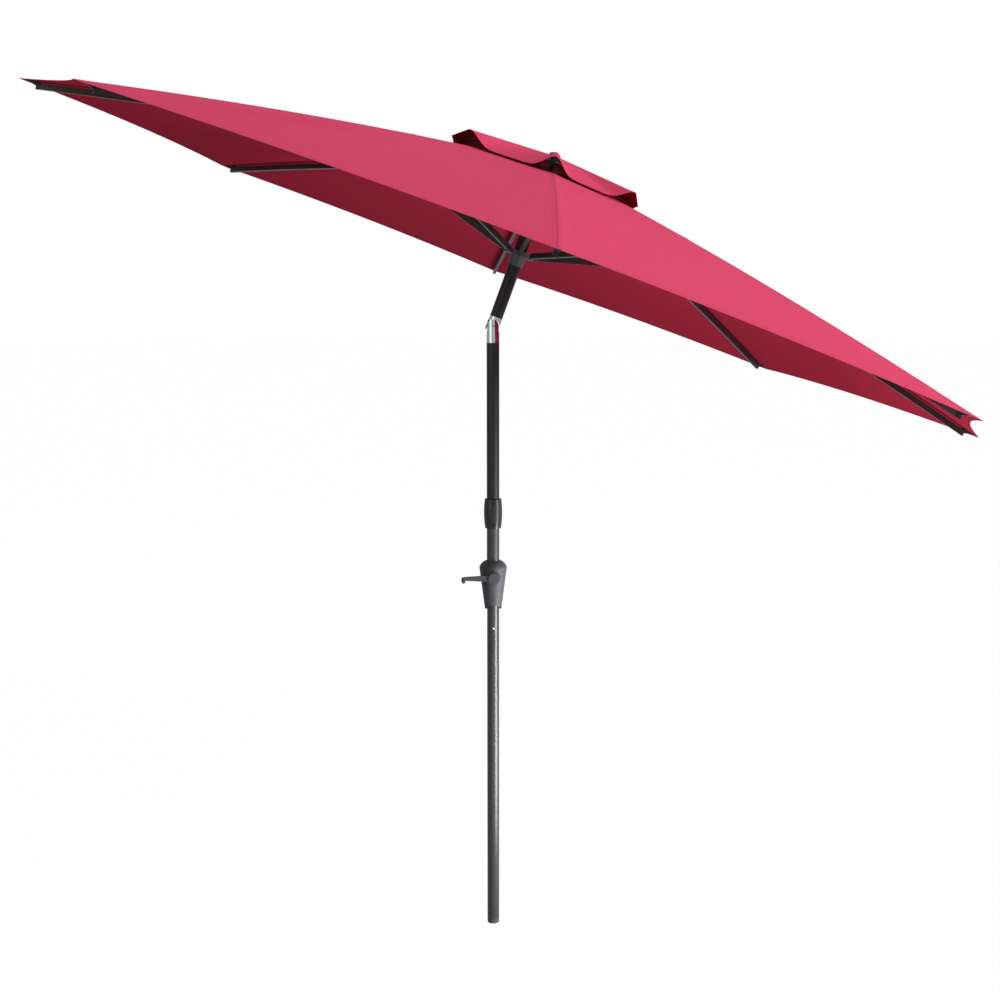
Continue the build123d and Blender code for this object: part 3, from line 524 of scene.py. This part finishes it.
def clothMaterial(name, face):
    mat, tree, bsdf = startMaterial(name)
    look = clothSet
    bsdf.inputs["Specular IOR Level"].default_value = look[face]["specular"]
    uv = addNode(tree, "ShaderNodeUVMap", -1300, 0, uv_map="clothUv")
    cloth = addNode(tree, "ShaderNodeGroup", -1000, 200, node_tree=weave)
    cloth.inputs["Yarns"].default_value = look["yarns"]
    mirrored = addNode(tree, "ShaderNodeVectorMath", -1150, 200, operation="ABSOLUTE")
    tree.links.new(uv.outputs["UV"], mirrored.inputs[0])
    tree.links.new(mirrored.outputs[0], cloth.inputs["Vector"])
    split = addNode(tree, "ShaderNodeSeparateXYZ", -1000, -200)
    tree.links.new(uv.outputs["UV"], split.inputs[0])
    # two rows of stitches along the seam and one along the hem
    fromSeam = mathNode(tree, "ABSOLUTE", split.outputs["X"], None, -800, -200)
    seamOff = mathNode(tree, "SUBTRACT", fromSeam, look["stitchLine"], -640, -200)
    seamOff = mathNode(tree, "ABSOLUTE", seamOff, None, -480, -200)
    seamRow = rangeNode(tree, seamOff, look["stitchWidth"], (1, 0), -320, -200)
    gap = addNode(tree, "ShaderNodeAttribute", -1000, -420, attribute_name="hemGap")
    hemLine = canopySet["hemWidth"] * look["hemLine"]
    hemOff = mathNode(tree, "SUBTRACT", gap.outputs["Fac"], hemLine, -800, -420)
    hemOff = mathNode(tree, "ABSOLUTE", hemOff, None, -640, -420)
    hemRow = rangeNode(tree, hemOff, look["stitchWidth"], (1, 0), -480, -420)
    run = mathNode(tree, "MULTIPLY", split.outputs["Y"], look["stitchPitch"], -800, -620)
    run = mathNode(tree, "FRACT", run, None, -640, -620)
    dash = mathNode(tree, "GREATER_THAN", run, look["stitchGap"], -480, -620)
    cross = mathNode(tree, "MULTIPLY", split.outputs["X"], look["stitchPitch"], -800, -760)
    cross = mathNode(tree, "FRACT", cross, None, -640, -760)
    hemDash = mathNode(tree, "GREATER_THAN", cross, look["stitchGap"], -480, -760)
    seamStitch = mathNode(tree, "MULTIPLY", seamRow, dash, -160, -300)
    hemStitch = mathNode(tree, "MULTIPLY", hemRow, hemDash, -160, -460)
    stitches = mathNode(tree, "MAXIMUM", seamStitch, hemStitch, 0, -360, clamp=True)
    # uneven dye, and the ring seam as a faint darker band
    slub = rangeNode(tree, cloth.outputs["Slub"], look["dyeBand"], (0, 1), -700, 320)
    base = mixColour(tree, slub, look[face]["dark"], look[face]["colour"], -400, 320)
    ringOff = mathNode(tree, "SUBTRACT", split.outputs["Y"], canopySet["ring"], -800, 520)
    ringOff = mathNode(tree, "ABSOLUTE", ringOff, None, -640, 520)
    ringBand = rangeNode(tree, ringOff, look["ringBand"], (look["ringTint"], 0), -480, 520, True)
    base = mixColour(tree, ringBand, base, look["stitch"], -100, 320)
    base = mixColour(tree, stitches, base, look["stitch"], 150, 250)
    tree.links.new(base, bsdf.inputs["Base Color"])
    rough = rangeNode(tree, cloth.outputs["Slub"], look["roughBand"], look["rough"], 100, 60)
    tree.links.new(rough, bsdf.inputs["Roughness"])
    woven = bumpNode(tree, cloth.outputs["Height"], *look["weaveBump"], 150, -100)
    sewn = bumpNode(tree, stitches, *look["stitchBump"], 320, -200, woven)
    tree.links.new(sewn, bsdf.inputs["Normal"])
    return mat


clothLook = clothMaterial("canopyCloth", "outside")
# the underside's colour is painted light: a darker, deeper red copy of the outside cloth
undersidePaintedLightLook = clothMaterial("canopyUndersidePaintedLight", "inside")
# painted shade on the vent's underside
ventPaintedShadeLook = clothMaterial("ventPaintedShadeLook", "ventShadePainted")
print("materials made")


def addCanopy():
    s = canopySet
    for k in ribNumbers:
        rib = f"rib_{k}"
        bm = clothMesh(2 * s["columns"], s["rows"], sectionPoint)
        bmesh.ops.transform(bm, matrix=turnAbout(k), verts=bm.verts)
        name, node = f"canopySection{k}", f"canopy_section_{k}"
        piece = finishCloth(bm, name, rib, node, undersidePaintedLightLook)
        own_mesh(piece)
    print("canopy sewn:", ribCount, "sections")


ventSet = {
    # each corner's distance from the mast, and its arch above the canopy
    "corners": ((0.300, 0.026), (0.356, 0.045), (0.345, 0.047), (0.356, 0.045)) * 2,
    "taut": (4, 7),        # gores with a straight hem
    "shift": 0.011,        # towards the high side
    "peak": 0.538,
    "dip": 0.012,          # of the hem, between corners
    "lift": 0.006,         # of the hem off the canopy
    "lobe": 6.5,           # half width of a corner's arch, in degrees
    "hole": 0.007,
    "flat": (0.712, 0.712),
    "turns": 384,
    "rows": 60,
    "hemRows": 4,
    "hemWidth": 0.014,
    "hemRise": 0.0005,
    "crease": 0.0012,      # soft folds that run from the finial to the hem
    "creaseScale": (3.1, 3.1, 0.9),
    "puff": 0.012,         # the front seam stands up off its stay
    "puffSeam": 6,
    "weld": 0.00002,
    "tiny": 1e-9,
}


def ventCorner(k):
    radius, arch = ventSet["corners"][k % ribCount]
    return radius, clothHeight(radius) + arch


def ventPoint(gridX, gridY):
    v = ventSet
    turn = (gridX + 1) * pi
    along = (gridY + 1) / 2
    gore = 2 * halfGore
    k = int(turn / gore + v["tiny"])
    past = turn - k * gore
    nearR, nearH = ventCorner(k)
    nextR, nextH = ventCorner(k + 1)
    corner = nearH + (nextH - nearH) * past / gore
    hemR = nearR * nextR * sin(gore) / (nearR * sin(past) + nextR * sin(gore - past))
    aside = min(past, gore - past)
    hem = corner
    if k % ribCount not in v["taut"]:
        hemR -= v["dip"] * (1 - (past / halfGore - 1) ** 2)
        lean = v["shift"] * cos((k + 0.5) * gore)
        rest = goreHeight(hemR * cos(past - halfGore) - lean) + v["lift"]
        hem = rest + (corner - rest) * exp(-(degrees(aside) / v["lobe"]) ** 2)
    hemShare = 1 - v["hemRows"] / v["rows"]
    turnIn = 1 - v["hemWidth"] / hemR
    if along >= hemShare:
        share = turnIn + (1 - turnIn) * (along - hemShare) / (1 - hemShare)
    else:
        share = turnIn * along / hemShare
    radius = v["hole"] + (hemR - v["hole"]) * share
    height = v["peak"] - (v["peak"] - corner) * share - (corner - hem) * share ** 2
    fold = noise.noise(Vector((cos(turn), sin(turn), share)) * Vector(v["creaseScale"]))
    halfway = sin(pi * min(share, 1))
    height += v["crease"] * fold * halfway * sin(pi * past / gore) ** 2
    fromPuff = degrees(turn - v["puffSeam"] * gore) / v["lobe"]
    height += v["puff"] * halfway * exp(-fromPuff ** 2)
    if along > hemShare:
        height += v["hemRise"]
    spot = Vector((radius * cos(turn) - v["shift"] * share, radius * sin(turn), height))
    return spot, (radius * sin(aside), radius), hemR - radius


def addVent():
    v = ventSet
    bm = clothMesh(v["turns"], v["rows"], ventPoint)
    bmesh.ops.remove_doubles(bm, verts=bm.verts, dist=v["weld"])
    # the vent's inner faces take the painted-shade material
    finishCloth(bm, "ventCloth", "mast", "vent_canopy", ventPaintedShadeLook)
    print("vent sewn")


addCanopy()
addVent()
paintNodes()
print("frame painted")


studioSet = {
    "white": (1, 1, 1, 1),
    "sky": 0.50,
    "ground": 0.06,
    "skyBand": (-0.2, 0.4),
    "sides": (0.45, 1.0),     # what shiny pieces mirror on the left and the right
    "sideBand": (-0.4, 0.9),
    "floorColour": (0.86, 0.86, 0.86),
    "floorBounce": (0.14, 0.14, 0.14),
    "floorShine": 0.45,       # what shiny pieces mirror below
    "floorWhite": 0.982,      # the rest takes the shadow
    "floorRadius": 60,
    "floorCorners": 96,
    "floorDrop": 0.0005,
}
lampSet = {
    "key": {
        "place": (6.3, -5.7, 8.4), "aim": (0, 0, 1.9), "size": 6.6, "tall": 6.6, "power": 500},
    "right": {
        "place": (9.0, -1.8, 1.8), "aim": (0, 0, 2.1), "size": 3.0, "tall": 3.0, "power": 600,
        "mirrored": False},
    "fill": {
        "place": (-4.5, -4.5, 2.5), "aim": (0, 0, 1.6), "size": 4.0, "tall": 4.0, "power": 50},
    "strip": {
        "place": (0.58, -0.40, 0.53), "aim": (0, 0, 0.53), "size": 0.25, "tall": 0.95,
        "power": 15},
    "stripTop": {
        "place": (0.58, -0.40, 1.27), "aim": (0, 0, 1.27), "size": 0.25, "tall": 0.50,
        "power": 2.2},
    "low": {
        "place": (1.5, -0.5, 0.05), "aim": (1.4, -0.3, 1.9), "size": 0.8, "tall": 0.8, "power": 17},
}


def addLamp(name):
    look = lampSet[name]
    data = bpy.data.lights.new(name + "Lamp", "AREA")
    data.shape = "RECTANGLE"
    data.size = look["size"]
    data.size_y = look["tall"]
    data.energy = look["power"]
    lamp = bpy.data.objects.new(name + "Lamp", data)
    lamp.location = look["place"]
    aim = Vector(look["aim"]) - Vector(look["place"])
    lamp.rotation_euler = aim.to_track_quat("-Z", "Y").to_euler()
    lamp.visible_camera = False
    lamp.visible_glossy = look.get("mirrored", True)
    scene.collection.objects.link(lamp)


# 1 where the background is looked at, directly, mirrored or through a piece
def pathMask(tree, x, y):
    rays = addNode(tree, "ShaderNodeLightPath", x, y).outputs
    seen = mathNode(tree, "MAXIMUM", rays["Is Camera Ray"], rays["Is Glossy Ray"], x + 200, y)
    return mathNode(tree, "MAXIMUM", seen, rays["Is Transmission Ray"], x + 380, y)


def addWorld():
    look = studioSet
    world = bpy.data.worlds.new("studioWorld")
    scene.world = world
    world.use_nodes = True
    tree = world.node_tree
    tree.nodes.clear()
    out = addNode(tree, "ShaderNodeOutputWorld", 900, 0)
    coords = addNode(tree, "ShaderNodeTexCoord", -700, 0)
    split = addNode(tree, "ShaderNodeSeparateXYZ", -500, 0)
    tree.links.new(coords.outputs["Generated"], split.inputs[0])
    levels = (look["ground"], look["sky"])
    level = rangeNode(tree, split.outputs["Z"], look["skyBand"], levels, -300, 0, True)
    light = addNode(tree, "ShaderNodeBackground", 200, 100)
    tree.links.new(level, light.inputs["Strength"])
    light.inputs["Color"].default_value = look["white"]
    backdrop = addNode(tree, "ShaderNodeBackground", 200, -100)
    backdrop.inputs["Color"].default_value = look["white"]
    sides = rangeNode(tree, split.outputs["X"], look["sideBand"], look["sides"], -300, -200)
    rays = addNode(tree, "ShaderNodeLightPath", -300, -450).outputs
    white = mathNode(tree, "MAXIMUM", sides, rays["Is Camera Ray"], 0, -200)
    tree.links.new(white, backdrop.inputs["Strength"])
    mix = addNode(tree, "ShaderNodeMixShader", 600, 0)
    tree.links.new(pathMask(tree, -300, 300), mix.inputs[0])
    tree.links.new(light.outputs[0], mix.inputs[1])
    tree.links.new(backdrop.outputs[0], mix.inputs[2])
    tree.links.new(mix.outputs[0], out.inputs[0])


def addFloor():
    look = studioSet
    mesh = bpy.data.meshes.new("studioFloor")
    bm = bmesh.new()
    bmesh.ops.create_circle(
        bm, cap_ends=True, segments=look["floorCorners"], radius=look["floorRadius"])
    bmesh.ops.translate(bm, verts=bm.verts, vec=(0, 0, -look["floorDrop"]))
    bm.to_mesh(mesh)
    bm.free()
    floor = bpy.data.objects.new("studioFloor", mesh)
    scene.collection.objects.link(floor)
    mat = bpy.data.materials.new("studioFloor")
    mat.use_nodes = True
    tree = mat.node_tree
    tree.nodes.clear()
    out = addNode(tree, "ShaderNodeOutputMaterial", 900, 0)
    pale = addNode(tree, "ShaderNodeBsdfDiffuse", 0, 200)
    pale.inputs["Color"].default_value = (*look["floorColour"], 1)
    bounce = addNode(tree, "ShaderNodeBsdfDiffuse", 0, 0)
    bounce.inputs["Color"].default_value = (*look["floorBounce"], 1)
    white = addNode(tree, "ShaderNodeEmission", 0, -200)
    rays = addNode(tree, "ShaderNodeLightPath", -600, -200).outputs
    shine = mathNode(tree, "MAXIMUM", rays["Is Camera Ray"], look["floorShine"], -300, -200)
    tree.links.new(shine, white.inputs["Strength"])
    shown = addNode(tree, "ShaderNodeMixShader", 300, 100)
    shown.inputs[0].default_value = look["floorWhite"]
    tree.links.new(pale.outputs[0], shown.inputs[1])
    tree.links.new(white.outputs[0], shown.inputs[2])
    pick = addNode(tree, "ShaderNodeMixShader", 600, 0)
    tree.links.new(pathMask(tree, -300, 500), pick.inputs[0])
    tree.links.new(bounce.outputs[0], pick.inputs[1])
    tree.links.new(shown.outputs[0], pick.inputs[2])
    tree.links.new(pick.outputs[0], out.inputs[0])
    mesh.materials.append(mat)


addWorld()
addFloor()
for lampName in lampSet:
    addLamp(lampName)
scene.view_settings.view_transform = "Standard"
print("studio lit")
